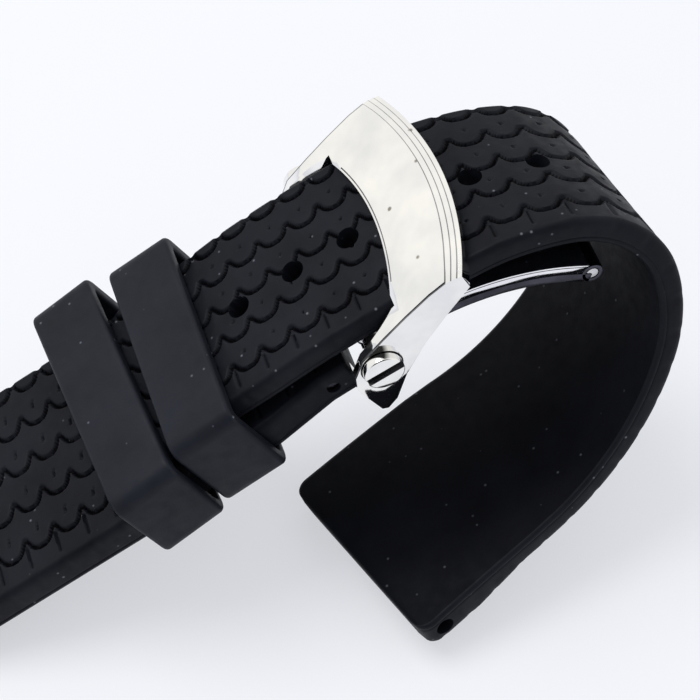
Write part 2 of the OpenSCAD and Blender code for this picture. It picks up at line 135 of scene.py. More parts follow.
STUD_X, WINDOW_W, WINDOW_BACK, WINDOW_AHEAD, WINDOW_LOW, WINDOW_HIGH = 3.6, 3.4, 1.6, 2.8, -5, 2
LINE_TOP, LINE_BOTTOM, LINE_DEPTH = 0.16, 0.26, 0.1
BEND_Z = BLADE_TOP - BLADE_R
STACK_R = BLADE_R - BLADE_T - BLADE_GAP / 2
HINGE_ANGLE = math.degrees(math.asin((HINGE_X - BEND_X) / STACK_R))
HINGE_Z = BEND_Z + STACK_R * math.cos(math.radians(HINGE_ANGLE))
STRAP_PIN_Z = BLADE_TOP - 1.5 * BLADE_T - BLADE_GAP

# Buckle
FRAME_W, ARM_T, PLATE_T, PLATE_TOP, FRAME_ROUND = 23.2, 2.0, 1.3, 5.6, 0.1
PLATE_L, PLATE_REACH, PLATE_R, INNER_R = 7.4, 12.8, 30.0, 24.0
SCREW_HEAD_D, SCREW_PROUD, SCREW_RECESS, SCREW_CLEAR, SCREW_ROUND = 3.7, 0.9, 0.5, 0.12, 0.14
SLOT_W, SLOT_DEPTH, SLOT_REACH = 0.9, 0.5, 3
ARM_IN = FRAME_W / 2 - ARM_T
STRAP_ROOM = STRAP_Z + LONG_T + 0.1
# How far the cutters of the frame go, from the bar and over the frame's top
BEHIND, BELOW, ABOVE, OUTSIDE, OVER_TOP = -9, -9, 20, 30, 2
# Side outline of the frame: over the plate and down the boss, and then back under the arms and the plate
FRAME_TOP = [
    (PLATE_REACH + 1, PLATE_TOP), (PLATE_REACH - 3, PLATE_TOP), (PLATE_REACH - 5.6, PLATE_TOP - 0.55),
    (PLATE_REACH - 8.4, PLATE_TOP - 1.5), (1.6, 3.0), (-1.0, 1.86), (-2.5, 0.3), (-3.1, -1.3)
]
FRAME_UNDER = [
    (-2.5, -5.2), (-2, -5.5), (-0.8, -4.9), (1.3, -2.6), (4.5, -0.1), (PLATE_REACH - 4.8, PLATE_TOP - 3.6),
    (PLATE_REACH - 1.9, PLATE_TOP - 2), (PLATE_REACH + 1, PLATE_TOP - 1.95)
]
# Side outline of what is cut away under the plate, between the arms
UNDER_OUTLINE = [
    (-10, -10), (-10, STRAP_ROOM), (4.4, STRAP_ROOM), (PLATE_REACH - 3.8, PLATE_TOP - PLATE_T),
    (20, PLATE_TOP - PLATE_T), (20, -10)
]


# Geometry helpers

def new_object(name, mesh, body):
    obj = bpy.data.objects.new(name, mesh)
    bpy.context.scene.collection.objects.link(obj)
    if body:
        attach(obj, body)
    return obj


def mesh_from(name, verts, faces, smooth_angle=SOLID_SMOOTH):
    """A mesh from points in the clasp frame, in millimetres, with edges sharper than an angle kept sharp"""
    mesh = bpy.data.meshes.new(name)
    mesh.from_pydata([tuple(v) for v in verts], [], faces)
    mesh.transform(CLASP @ Matrix.Scale(MM, 4))
    mesh.validate()
    finish_normals(mesh, smooth_angle)
    return mesh


def finish_normals(mesh, smooth_angle):
    bm = bmesh.new()
    bm.from_mesh(mesh)
    bmesh.ops.recalc_face_normals(bm, faces=bm.faces)
    limit = math.radians(smooth_angle)
    for face in bm.faces:
        face.smooth = True
    for edge in bm.edges:
        edge.smooth = len(edge.link_faces) == 2 and edge.calc_face_angle(0) < limit
    bm.to_mesh(mesh)
    bm.free()


def solid(name, verts, faces, smooth_angle=SOLID_SMOOTH):
    """An object with no body or slot yet, from points in the clasp frame"""
    obj = bpy.data.objects.new(name, mesh_from(name, verts, faces, smooth_angle))
    bpy.context.scene.collection.objects.link(obj)
    return obj


def with_modifiers(obj, smooth_angle=SOLID_SMOOTH):
    """Applies an object's modifiers, so that the piece is a plain mesh."""
    bpy.context.view_layer.update()
    evaluated = obj.evaluated_get(bpy.context.evaluated_depsgraph_get())
    mesh = bpy.data.meshes.new_from_object(evaluated)
    obj.modifiers.clear()
    obj.data = mesh
    finish_normals(mesh, smooth_angle)
    return obj


def cut(obj, cutters, smooth_angle=SOLID_SMOOTH, lining=None):
    """Cuts solids out of an object and removes them. The cut faces get the lining's material."""
    for cutter in cutters:
        if not cutter.data.materials and (lining or obj.data.materials):
            cutter.data.materials.append(lining or obj.data.materials[0])
        modifier = obj.modifiers.new("cut", "BOOLEAN")
        modifier.operation = "DIFFERENCE"
        modifier.solver = "EXACT"
        modifier.material_mode = "TRANSFER"
        modifier.object = cutter
    with_modifiers(obj, smooth_angle)
    for cutter in cutters:
        bpy.data.objects.remove(cutter)
    return obj


def bevelled(obj, width, segments=3, angle=35, slot=-1):
    """Rounds an object's edges. Their new faces take the material in the slot."""
    modifier = obj.modifiers.new("edges", "BEVEL")
    modifier.material = slot
    modifier.width = width * MM
    modifier.segments = segments
    modifier.limit_method = "ANGLE"
    modifier.angle_limit = math.radians(angle)
    return with_modifiers(obj, STEEL_SMOOTH)


def band(m, rows, closed=False):
    """Faces between neighbouring rows of m points each. A closed band joins the last to the first."""
    faces = []
    for row in range(rows if closed else rows - 1):
        a, b = row * m, (row + 1) % rows * m
        faces += [(a + i, a + (i + 1) % m, b + (i + 1) % m, b + i) for i in range(m)]
    return faces


def capped(m, rows):
    """Faces of a body through rows of m points each, with its two ends last"""
    last = (rows - 1) * m
    return band(m, rows) + [tuple(range(m))[::-1], tuple(range(last, last + m))]


def prism_data(outline, low, high, axis="y"):
    """Points and faces of an outline in X and Z drawn out along Y, or one in X and Y along Z"""
    if axis == "y":
        verts = [(x, y, z) for y in (low, high) for x, z in outline]
    else:
        verts = [(x, y, z) for z in (low, high) for x, y in outline]
    return verts, capped(len(outline), 2)


def prism(name, outline, low, high, axis="y"):
    return solid(name, *prism_data(outline, low, high, axis))


def rectangle(x0, x1, z0, z1):
    return [(x0, z0), (x1, z0), (x1, z1), (x0, z1)]


def arc(cx, cy, r, start, end, count=24):
    angles = np.radians(np.linspace(start, end, count))
    return [(cx + r * math.cos(a), cy + r * math.sin(a)) for a in angles]


def circle(x, z, r, count):
    return arc(x, z, r, 0, 360, count + 1)[:-1]


def rod(name, x, z, r, y0, y1, count=48):
    """A rod across the strap, from y0 to y1"""
    return prism(name, circle(x, z, r, count), y0, y1)


def sleeve_data(low, high, outer, inner):
    """Points and faces of a sleeve between two outlines. A point is its place along the sleeve, from low to
    high, and then the outline's two numbers."""
    rows = [(low, outer), (high, outer), (high, inner), (low, inner)]
    points = [(along, a, b) for along, outline in rows for a, b in outline]
    return points, band(len(outer), len(rows), closed=True)


def tube_rod(name, x, z, r_out, r_in, y0, y1, count=48):
    """A tube across the strap"""
    points, faces = sleeve_data(y0, y1, circle(x, z, r_out, count), circle(x, z, r_in, count))
    return solid(name, [(px, py, pz) for py, px, pz in points], faces)


def cylinder_at(name, centre, axis, r, length, count=40):
    """A rod centred on a point, along any axis"""
    a = unit(np.array(axis, float))
    aslant = (0.31, 0.52, 0.79)
    b = unit(np.cross(a, aslant))
    c = np.cross(a, b)
    angles = np.linspace(0, 2 * math.pi, count, endpoint=False)
    ring = [r * (math.cos(q) * b + math.sin(q) * c) for q in angles]
    verts = [centre - a * length / 2 + q for q in ring] + [centre + a * length / 2 + q for q in ring]
    return solid(name, verts, capped(count, 2))


def joined(name, objects, body):
    """Makes one piece out of several solids."""
    verts, faces, materials, indices = [], [], [], []
    for obj in objects:
        base = len(verts)
        verts += [v.co.copy() for v in obj.data.vertices]
        faces += [[base + i for i in p.vertices] for p in obj.data.polygons]
        for mat in obj.data.materials:
            if mat not in materials:
                materials.append(mat)
        indices += [materials.index(obj.data.materials[p.material_index]) for p in obj.data.polygons]
        bpy.data.objects.remove(obj)
    mesh = bpy.data.meshes.new(name)
    mesh.from_pydata(verts, [], faces)
    for mat in materials:
        mesh.materials.append(mat)
    mesh.polygons.foreach_set("material_index", indices)
    finish_normals(mesh, STEEL_SMOOTH)
    return new_object(name, mesh, body)


# Paths of the straps

def unit(v):
    return v / np.linalg.norm(v)


def turned(v, k, degrees):
    a = math.radians(degrees)
    return v * math.cos(a) + np.cross(k, v) * math.sin(a) + k * np.dot(k, v) * (1 - math.cos(a))


def walk(start, runs):
    """Stations along a strap's inner face, each with its point, direction, width direction and distance"""
    p, d, w = (np.array(v, float) for v in start[:3])
    u = float(start[3])
    path = [(p, d, w, u)]
    for length, turn, twist in runs:
        count = max(2, math.ceil(abs(length) / STEP))
        for _ in range(count):
            ahead = unit(turned(d, w, turn / count))
            w = unit(turned(w, ahead, twist / count))
            p = p + unit(d + ahead) * length / count
            d = ahead
            u += length / count
            path.append((p, d, w, u))
    return path


def stacked(path):
    """Stations as four arrays"""
    return tuple(np.array([station[i] for station in path]) for i in range(4))


def long_path():
    tail = walk(BAR_STATION, TAIL_RUNS)
    loop = walk(BAR_STATION, LOOP_RUNS)
    return stacked(tail[:0:-1] + loop)


def short_path():
    slope = math.radians(SHORT_SLOPE)
    head = (STRAP_PIN_X + SHORT_HEAD, 0, STRAP_PIN_Z - SHORT_T / 2 + math.sin(slope) * SHORT_HEAD)
    start = (head, (math.cos(slope), 0, math.sin(slope)), (0, 1, 0), head[0])
    return stacked(walk(start, SHORT_RUNS)[::-1])


def station_at(path, u):
    """Point, direction, width direction and outward direction at the station nearest to distance u"""
    i = int(np.argmin(np.abs(path[3] - u)))
    return path[0][i], path[1][i], path[2][i], np.cross(path[1][i], path[2][i])


def from_end(u):
    """Distance from the nearer end of a strap"""
    return np.minimum(u - u.min(), u.max() - u)


def ramp(x, x0, x1):
    return np.clip((x - x0) / (x1 - x0), 0, 1)


def smooth(x, low, high):
    t = ramp(x, low, high)
    return t * t * (3 - 2 * t)


def corner(x, r):
    """What a rounded corner takes off the half width, at distance x from the end"""
    x = np.clip(x, 0, r)
    return r - np.sqrt(r * r - (r - x) ** 2)


# Tread relief

def scallop(u, phase):
    """Place within a scallop from 0 to 1 at distance u, the share of the bulge there, and its rate"""
    t = ((u - phase) / TREAD_PITCH) % 1
    away = 1 - np.abs(2 * t - 1)
    rounded = np.hypot(away, TREAD_ROUND)
    left = 1 + TREAD_ROUND - rounded
    return t, 1 - left ** TREAD_POWER, 2 * TREAD_POWER * left ** (TREAD_POWER - 1) * away / rounded


def grooves(y, c, rows, rate):
    """Depth of the grooves, which are of one width across their run"""
    slope = c * TREAD_BULGE * rate / TREAD_PITCH
    depth = np.zeros_like(y)
    for line in rows:
        away = np.abs(y - line) / np.sqrt(1 + slope ** 2)
        depth = np.maximum(depth, TREAD_DEPTH * (1 - smooth(away, *GROOVE_SIDE)))
    return depth


def scales(y, rows):
    """Depth of the scales, which stand highest along the scallop that ends them"""
    beyond = 4
    tilt = np.zeros_like(y)
    for upper, lower in zip([rows[0] + beyond] + rows, rows + [rows[-1] - beyond]):
        across = np.clip((y - lower) / (upper - lower), 0, 1)
        tilt = np.where((y <= upper) & (y > lower), TREAD_LIFT * across ** LIFT_POWER, tilt)
    return tilt


def pips(y, c, t, half_length):
    """Depth of the small pips in the middle of the scales"""
    depth = np.zeros_like(y)
    for row in TREAD_ROWS[1:]:
        off = y - c * row - PIP_OFF
        along = (t - 0.5) * TREAD_PITCH - PIP_LEAN * off
        reach = np.maximum(np.abs(off) - half_length, 0)
        depth = np.maximum(depth, PIP_DEPTH * (1 - smooth(np.hypot(along, reach), *PIP_SIDE)))
    return depth


def slits(y, c, t):
    """Depth of the slits between the lobes on both edges"""
    gap = np.minimum(t, 1 - t) * TREAD_PITCH
    last, first = -c * TREAD_ROWS[-1], c * TREAD_ROWS[0]
    near = smooth(-y, last + SLIT_START[0], last + SLIT_START[1])
    near = near * (1 - smooth(-y, c - SLIT_EDGE[0], c - SLIT_EDGE[1]))
    far = smooth(y, first - SLIT_EDGE[0], first - SLIT_EDGE[1])
    return (1 - smooth(gap, *SLIT_SIDE)) * np.maximum(near * NEAR_SLIT, far * FAR_SLIT)


def tread(u, y, half, phase, pip):
    """Depth below the strap's crown at distance u and offset y, for arrays of the same shape"""
    c = half - EDGE_C
    t, bulge, rate = scallop(u, phase)
    rows = [c * (row - TREAD_BULGE * bulge) for row in TREAD_ROWS]
    depth = np.maximum(grooves(y, c, rows, rate), pips(y, c, t, pip))
    return np.maximum(depth, slits(y, c, t)) + scales(y, rows)


def lobe_notch(u, phase):
    """How far the strap's far edge draws in between two lobes"""
    gap = np.abs((((u - phase) / TREAD_PITCH + 0.5) % 1) - 0.5) * TREAD_PITCH
    return NOTCH_DEPTH * (1 - smooth(gap, *NOTCH_SIDE))


# Straps

def strap_sides(u, half, thick, notches, shrink):
    """Points of a ring on the far side, going up, and on the near side, going down"""
    columns = []
    for side, notch in zip((1, -1), notches):
        rise = [(half - inset - shrink, np.full_like(u, height) + shrink) for inset, height in SIDE]
        crown = [(half - inset - notch - shrink, thick - drop - shrink) for inset, drop in SHOULDER]
        both = [(side * y, z) for y, z in rise + crown]
        columns.append(both if side == 1 else both[::-1])
    return columns


def strap_rings(path, half, thick, phase, pip):
    """Rings of points round a strap, and which of them are down in the tread and get painted groove shade.
    half and thick are its half width and thickness at each station."""
    p, d, w, u = path
    n = np.cross(d, w)
    shrink = corner(from_end(u), END_R)
    far_notch = lobe_notch(u, phase)
    notches = (far_notch, NEAR_NOTCH * far_notch)
    far_side, near_side = strap_sides(u, half, thick, notches, shrink)
    far_edge, near_edge = [half - EDGE_C - notch - shrink for notch in notches]
    top, in_groove_shade = [], []
    fade = smooth(from_end(u), *END_FADE)
    for v in np.linspace(1, -1, TOP_COUNT):
        y = v * (far_edge if v > 0 else near_edge)
        depth = fade * tread(u, y, half, phase, pip)
        top.append((y, np.minimum(thick - depth - shrink, thick - CROWN_DROP)))
        in_groove_shade.append(depth > TREAD_LIFT + GROOVE_SHARE * (TREAD_DEPTH - TREAD_LIFT))
    points = [p + w * y[:, None] + n * z[:, None] for y, z in far_side + top + near_side]
    plain = [np.zeros(len(u), bool)] * len(far_side)
    return np.stack(points, axis=1), np.stack(plain + in_groove_shade + plain, axis=1)


def tube(name, rings, in_groove_shade):
    """A body through rings of points. A face with more than two corners down in the tread gets the second
    material, which paints the grooves' shade, and the underside gets the third, which paints the shade
    inside the loop."""
    count, m = rings.shape[:2]
    obj = solid(name, rings.reshape(-1, 3), capped(m, count), STRAP_SMOOTH)
    dress(obj, RUBBER, GROOVE_SHADE_RUBBER, INNER_SHADE_RUBBER)
    along = in_groove_shade[:-1].astype(int) + in_groove_shade[1:]
    index = (along + np.roll(along, -1, axis=1) > 2).astype(int)
    # The underside faces get the painted shade of the loop's inside.
    index[:, -1] = 2
    obj.data.polygons.foreach_set("material_index", index.ravel().tolist() + [0, 0])
    return obj


def make_long_strap():
    path = long_path()
    u = path[3]
    width = TAIL_W + (LUG_W - TAIL_W) * ramp(u, *LONG_FLARE) - TAIL_TAPER * ramp(-u, TAPER_START, -u.min())
    x = u - u.min()
    tip = np.sqrt(np.maximum(TIP_BLUNT, 1 - (np.clip(TIP_L - x, 0, None) / TIP_L) ** 2))
    half = width * tip / 2 - corner(u.max() - u, CORNER_R)
    thick = LONG_T + (LUG_T - LONG_T) * ramp(u, u.max() - THICKEN_L, u.max() - THICKEN_L / 2)
    strap = tube("long_strap_rubber", *strap_rings(path, half, thick, LONG_PHASE, LONG_PIP))
    cutters = []
    for k in HOLE_COUNTS:
        p, _, _, n = station_at(path, PEG_U + k * HOLE_PITCH)
        cutters.append(cylinder_at(f"hole_{k}", p + n * LONG_T / 2, n, HOLE_D / 2, HOLE_CUTTER_L))
    cutters.append(tunnel(path, u.max() - TUNNEL_INSET, LUG_T))
    cut(strap, cutters, STRAP_SMOOTH)
    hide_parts("long_strap")
    return strap


def tunnel(path, u, thick):
    """Cutter for the spring bar's tunnel across a strap at distance u"""
    p, _, w, n = station_at(path, u)
    return cylinder_at("tunnel", p + n * thick / 2, w, TUNNEL_D / 2, TUNNEL_CUTTER_L)


def make_short_strap():
    path = short_path()
    u = path[3]
    groove_end = FIXED_KEEPER_U + KEEPER_L / 2 + GROOVE_SPARE
    width = SHORT_W + (GROOVE_W - SHORT_W) * ramp(-u, *SHORT_FLARE)
    width = width + (LUG_W - GROOVE_W) * ramp(-u, groove_end, groove_end + SHOULDER_L)
    half = width / 2 - corner(u - u.min(), CORNER_R)
    thick = np.full_like(u, SHORT_T)
    strap = tube("short_strap_rubber", *strap_rings(path, half, thick, SHORT_PHASE, SHORT_PIP))
    x, z = STRAP_PIN_X - BARREL_R - BARREL_CLEAR, STRAP_PIN_Z
    reach = BARREL_W / 2 + BARREL_CLEAR
    notch = prism("notch", rectangle(x, 0, z - BARREL_CUTTER_H / 2, z + BARREL_CUTTER_H / 2), -reach, reach)
    pin_bore = rod("pin_bore", STRAP_PIN_X, z, PIN_BORE_R, -PIN_BORE_REACH, PIN_BORE_REACH)
    cut(strap, [notch, pin_bore, tunnel(path, u.min() + TUNNEL_INSET, SHORT_T)], STRAP_SMOOTH)
    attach(strap, "lower_clasp")
    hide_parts("short_strap")
    return strap


def stop_rib():
    p, d, w, n = station_at(short_path(), -FIXED_KEEPER_U + KEEPER_L / 2 + RIB_OFF)
    section = rectangle(-RIB_L / 2, RIB_L / 2, -RIB_DOWN, RIB_UP)
    verts, faces = prism_data(section, -SHORT_W / 2 + RIB_INSET, SHORT_W / 2 - RIB_INSET)
    verts = [p + d * x + w * y + n * z for x, y, z in verts]
    rib = new_object("keeper_stop", mesh_from("keeper_stop", verts, faces), None)
    bevelled(rib, RIB_ROUND)
    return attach(rib, "lower_clasp")


# Keepers

def rounded_rect(x, y, r, count=10):
    points = []
    for cx, cy, start in ((1, 1, 0), (-1, 1, 90), (-1, -1, 180), (1, -1, 270)):
        points += arc(cx * (x / 2 - r), cy * (y / 2 - r), r, start, start + 90, count)
    return points


def make_keeper(name, node, body, u, w, yaw):
    """A loop round both straps at distance u from the bar, with an opening of width w"""
    under = station_at(short_path(), -u)[0][2]
    over = station_at(long_path(), -u)[0][2] + LONG_T
    tilt = math.radians((TAIL_SLOPE + SHORT_SLOPE) / 2)
    room = KEEPER_L / 2 * math.tan(math.radians(TAIL_SLOPE - SHORT_SLOPE))
    h = over - under + 2 * KEEPER_CLEAR + room
    place = Matrix.Translation((-u, 0, (under + over) / 2))
    place = place @ Matrix.Rotation(math.radians(yaw), 4, "Z") @ Matrix.Rotation(-tilt, 4, "Y")
    outer = rounded_rect(w + 2 * KEEPER_WALL, h + KEEPER_WALL + KEEPER_BASE, KEEPER_R)
    outer = [(y, z + (KEEPER_WALL - KEEPER_BASE) / 2) for y, z in outer]
    inner = rounded_rect(w, h, KEEPER_INNER_R)
    verts, faces = sleeve_data(-KEEPER_L / 2, KEEPER_L / 2, outer, inner)
    verts = [place @ Vector(v) for v in verts]
    keeper = new_object(name, mesh_from(name, verts, faces), None)
    bevelled(keeper, KEEPER_ROUND, segments=5, angle=50)
    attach(keeper, body)
    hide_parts(node)
    return keeper


# Clasp blades

def bend(r_out, r_in):
    """Outline between two radii about the bend's centre, from the bend's start to the hinge"""
    outer = arc(BEND_X, BEND_Z, r_out, 90, 90 - HINGE_ANGLE, BEND_COUNT)
    return outer + arc(BEND_X, BEND_Z, r_in, 90 - HINGE_ANGLE, 90, BEND_COUNT)


def blade(name, r, x0, notch_middle, mat):
    """A blade whose outer face lies on radius r about the bend's centre, and its hinge knuckles"""
    half = BLADE_W / 2
    outline = [(x0, BEND_Z + r)] + bend(r, r - BLADE_T) + [(x0, BEND_Z + r - BLADE_T)]
    obj = prism(name + "_sheet", outline, -half, half)
    dress(obj, mat)
    if notch_middle:
        spans = [(-KNUCKLE_SPLIT - OUTER_ROOM, KNUCKLE_SPLIT + OUTER_ROOM)]
        knuckles = [(-half, -KNUCKLE_SPLIT), (KNUCKLE_SPLIT, half)]
    else:
        spans = [(-BLADE_W, -KNUCKLE_SPLIT + MIDDLE_ROOM), (KNUCKLE_SPLIT - MIDDLE_ROOM, BLADE_W)]
        knuckles = [(-KNUCKLE_SPLIT + MIDDLE_GAP, KNUCKLE_SPLIT - MIDDLE_GAP)]
    cut(obj, [rod("notch", HINGE_X, HINGE_Z, HINGE_NOTCH_R, a, b) for a, b in spans])
    bore_r = HINGE_PIN_D / 2 + PIN_CLEAR
    rods = [tube_rod("knuckle", HINGE_X, HINGE_Z, HINGE_KNUCKLE_R, bore_r, a, b) for a, b in knuckles]
    for piece in rods:
        dress(piece, mat)
    return obj, rods


def side_lines(r):
    """Thin slots along both sides of a blade, under its outer face"""
    outline = bend(r - LINE_TOP, r - LINE_BOTTOM)
    spans = [sorted((s * (BLADE_W / 2 - LINE_DEPTH), s * BLADE_W)) for s in (-1, 1)]
    return [prism("line", outline, low, high) for low, high in spans]


def make_upper_blade():
    sheet, rods = blade("upper", BLADE_R, 0, False, BLADE_STEEL)
    hole = rectangle(STUD_X - WINDOW_BACK, STUD_X + WINDOW_AHEAD, WINDOW_LOW, WINDOW_HIGH)
    window = prism("window", hole, -WINDOW_W / 2, WINDOW_W / 2)
    cut(sheet, [window, rod("bar", 0, 0, BAR_KNUCKLE_R - OVERLAP, -BLADE_W, BLADE_W)])
    bore_r = BAR_D / 2 + PIN_CLEAR
    rods.append(tube_rod("bar_knuckle", 0, 0, BAR_KNUCKLE_R, bore_r, -BLADE_W / 2, BLADE_W / 2))
    dress(rods[-1], BLADE_STEEL)
    pieces = [bevelled(obj, BLADE_ROUND, segments=2) for obj in [sheet] + rods]
    # The side lines are lined with painted shade.
    cut(pieces[0], side_lines(BLADE_R), STEEL_SMOOTH, PAINTED_SHADE_STEEL)
    made = joined("upper_blade_steel", pieces, "upper_clasp")
    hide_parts("upper_blade")
    return made


def make_lower_blade():
    # The lower blade, its tongue and its barrel are painted near black as the shade under the upper blade.
    sheet, rods = blade("lower", BLADE_R - BLADE_T - BLADE_GAP, LOWER_START, True, LOWER_SHADE_STEEL)
    x, z = STRAP_PIN_X, STRAP_PIN_Z
    side = rectangle(x, TONGUE_END, z - BLADE_T / 2, z + BLADE_T / 2)
    tongue = prism("tongue", side, -BARREL_W / 2, BARREL_W / 2)
    cut(tongue, [rod("bore", x, z, BARREL_R - OVERLAP, -BARREL_W, BARREL_W)])
    rods.append(tube_rod("barrel", x, z, BARREL_R, BARREL_BORE_R, -BARREL_W / 2, BARREL_W / 2))
    dress(tongue, LOWER_SHADE_STEEL)
    dress(rods[-1], LOWER_SHADE_STEEL)
    pieces = [bevelled(obj, BLADE_ROUND, segments=2) for obj in [sheet, tongue] + rods]
    made = joined("lower_blade_steel", pieces, "lower_clasp")
    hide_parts("lower_blade")
    return made


# Buckle

def top_height(x):
    """Height of the frame's top at distance x along the clasp"""
    xs, zs = zip(*FRAME_TOP[::-1])
    return float(np.interp(x, xs, zs))


def ring_cutter(name, cx, profile, dark, angle, count=80):
    """A ring about a point on the plate's middle line. Its profile is of radius and height above the plate,
    and the profile's dark segments leave faces in painted shade."""
    m = len(profile)
    verts = []
    for a in np.radians(np.linspace(-angle, angle, count)):
        for r, height in profile:
            x = cx + r * math.cos(a)
            verts.append((x, r * math.sin(a), top_height(x) + height))
    obj = solid(name, verts, capped(m, count))
    dress(obj, POLISHED, PAINTED_SHADE_STEEL)
    shades = [int(j in dark) for i in range(count - 1) for j in range(m)]
    obj.data.polygons.foreach_set("material_index", shades + [0, 0])
    return obj


def edge_steps():
    """Cutter for the three fine steps along the plate's far edge, some of whose faces are in painted shade
    """
    r = PLATE_R
    profile = [
        (r - 1.5, 1), (r - 1.5, -0.03), (r - 1.43, -0.13), (r - 0.96, -0.16), (r - 0.89, -0.27),
        (r - 0.46, -0.32), (r - 0.39, -0.44), (r + 0.3, -0.55), (r + 1, -0.55), (r + 1, 1)
    ]
    return ring_cutter("steps", PLATE_REACH - PLATE_R, profile, dark=(0, 1, 3, 5), angle=30)


def inner_line():
    """Cutter for the fine line along the plate's near edge, which is lined with painted shade"""
    r = INNER_R + 0.16
    profile = [(r, 0.3), (r, -0.02), (r + 0.06, -0.07), (r + 0.12, -0.02), (r + 0.12, 0.3)]
    return ring_cutter("inner_line", PLATE_REACH - PLATE_L - INNER_R, profile, dark=range(5), angle=17.5)


def crease(s):
    """Cutter for the line between an arm's side face and its top. Its cut is lined with painted shade."""
    back, down, depth = 0.05, 0.1, 0.2
    high = [(x, z + OVER_TOP) for x, z in FRAME_TOP]
    low = [(x - back, z - down) for x, z in FRAME_TOP]
    return prism("crease", low + high[::-1], *sorted((s * (FRAME_W / 2 - depth), s * FRAME_W)))


def shoulder(s):
    """Cutter for the slope from an arm's top down to the strap"""
    verts = []
    past, lip = 0.5, 0.01
    # Places along the arm, and the slope's width at each
    line = [(3.5, 0.02), (2.8, 0.35), (1.8, 0.7), (0.6, 0.95), (-1.0, 1.05), (-2.5, 1.05)]
    for x, w in line:
        z = top_height(x)
        verts += [(x, s * (ARM_IN - past), z - w - past), (x, s * (ARM_IN + w), z + lip),
                  (x, s * (ARM_IN + w), z + OVER_TOP), (x, s * (ARM_IN - past), z + OVER_TOP)]
    return solid("shoulder", verts, capped(4, len(line)))


def make_frame():
    side = prism("frame", FRAME_TOP + FRAME_UNDER, -FRAME_W / 2, FRAME_W / 2)
    dress(side, POLISHED, PAINTED_SHADE_STEEL)
    far_x, near_x = PLATE_REACH - PLATE_R, PLATE_REACH - PLATE_L - INNER_R
    half = math.degrees(math.asin(ARM_IN / INNER_R))
    near_edge = [(BEHIND, -ARM_IN)] + arc(near_x, 0, INNER_R, -half, half, 60) + [(BEHIND, ARM_IN)]
    far_edge = arc(far_x, 0, PLATE_R, -40, 40, 90) + [(OUTSIDE, OUTSIDE), (OUTSIDE, -OUTSIDE)]
    under = prism("under", UNDER_OUTLINE, -ARM_IN, ARM_IN)
    window = prism("window", near_edge, BELOW, ABOVE, "z")
    outer = prism("outer", far_edge, BELOW, ABOVE, "z")
    cut(side, [under, window, outer], STEEL_SMOOTH)
    # The rounded edges take the second slot, so they are painted as dark lines of shade.
    bevelled(side, FRAME_ROUND, segments=2, angle=30, slot=1)
    cut(side, [shoulder(-1), shoulder(1)], STEEL_SMOOTH, POLISHED)
    # The creases are lined with painted shade.
    cut(side, [crease(-1), crease(1)], STEEL_SMOOTH, PAINTED_SHADE_STEEL)
    cut(side, [edge_steps(), inner_line()], STEEL_SMOOTH)
    # The screw recesses are lined with painted shade.
    recess_r = SCREW_HEAD_D / 2 + SCREW_CLEAR
    recesses = [rod("recess", 0, 0, recess_r, s * (FRAME_W / 2 - SCREW_RECESS), s * FRAME_W)
                for s in (-1, 1)]
    cut(side, recesses, STEEL_SMOOTH, PAINTED_SHADE_STEEL)
    side.name = "buckle_frame_steel"
    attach(side, "buckle")
    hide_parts("buckle_frame")
    return side


def make_screws():
    made = []
    for s in (-1, 1):
        y0, y1 = s * (FRAME_W / 2 - SCREW_RECESS), s * (FRAME_W / 2 + SCREW_PROUD)
        head = rod("head", 0, 0, SCREW_HEAD_D / 2, *sorted((y0, y1)), count=72)
        dress(head, POLISHED, PAINTED_SHADE_STEEL)
        # The slot is lined with painted shade.
        slot = rectangle(-SLOT_REACH, SLOT_REACH, -SLOT_W / 2, SLOT_W / 2)
        groove = prism("groove", slot, *sorted((y1 - s * SLOT_DEPTH, y1 + s)))
        made.append(cut(bevelled(head, SCREW_ROUND), [groove], STEEL_SMOOTH, PAINTED_SHADE_STEEL))
    screws = joined("screw_heads", made, "buckle")
    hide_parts("bar_screws")
    return screws


# Materials

def material(name, base, metallic=0.0, roughness=0.5, specular=0.5):
    mat = bpy.data.materials.new(name)
    mat.use_nodes = True
    shader = mat.node_tree.nodes["Principled BSDF"]
    shader.inputs["Base Color"].default_value = (*base, 1)
    shader.inputs["Metallic"].default_value = metallic
    shader.inputs["Roughness"].default_value = roughness
    shader.inputs["Specular IOR Level"].default_value = specular
    return mat, mat.node_tree, shader


def dress(obj, *mats):
    obj.data.materials.clear()
    for mat in mats:
        obj.data.materials.append(mat)


def add(tree, kind, **values):
    node = tree.nodes.new(kind)
    for key, value in values.items():
        setattr(node, key, value)
    return node


def feed(tree, socket, value):
    """Gives a socket a number, a colour or another node's output."""
    if isinstance(value, bpy.types.NodeSocket):
        tree.links.new(value, socket)
    elif isinstance(value, tuple):
        socket.default_value = (*value, 1)
    else:
        socket.default_value = value


def maths(tree, operation, a, b):
    node = add(tree, "ShaderNodeMath", operation=operation)
    feed(tree, node.inputs[0], a)
    feed(tree, node.inputs[1], b)
    return node.outputs["Value"]


def mixed(tree, a, b, factor, kind="RGBA"):
    """A colour between two, or a number between two if the kind is FLOAT"""
    node = add(tree, "ShaderNodeMix", data_type=kind)
    feed(tree, node.inputs["A"], a)
    feed(tree, node.inputs["B"], b)
    feed(tree, node.inputs["Factor"], factor)
    return node.outputs["Result"]


def noise(tree, coord, scale, detail=2.0, roughness=0.5):
    node = add(tree, "ShaderNodeTexNoise")
    node.inputs["Scale"].default_value = scale
    node.inputs["Detail"].default_value = detail
    node.inputs["Roughness"].default_value = roughness
    tree.links.new(coord, node.inputs["Vector"])
    return node.outputs["Fac"]


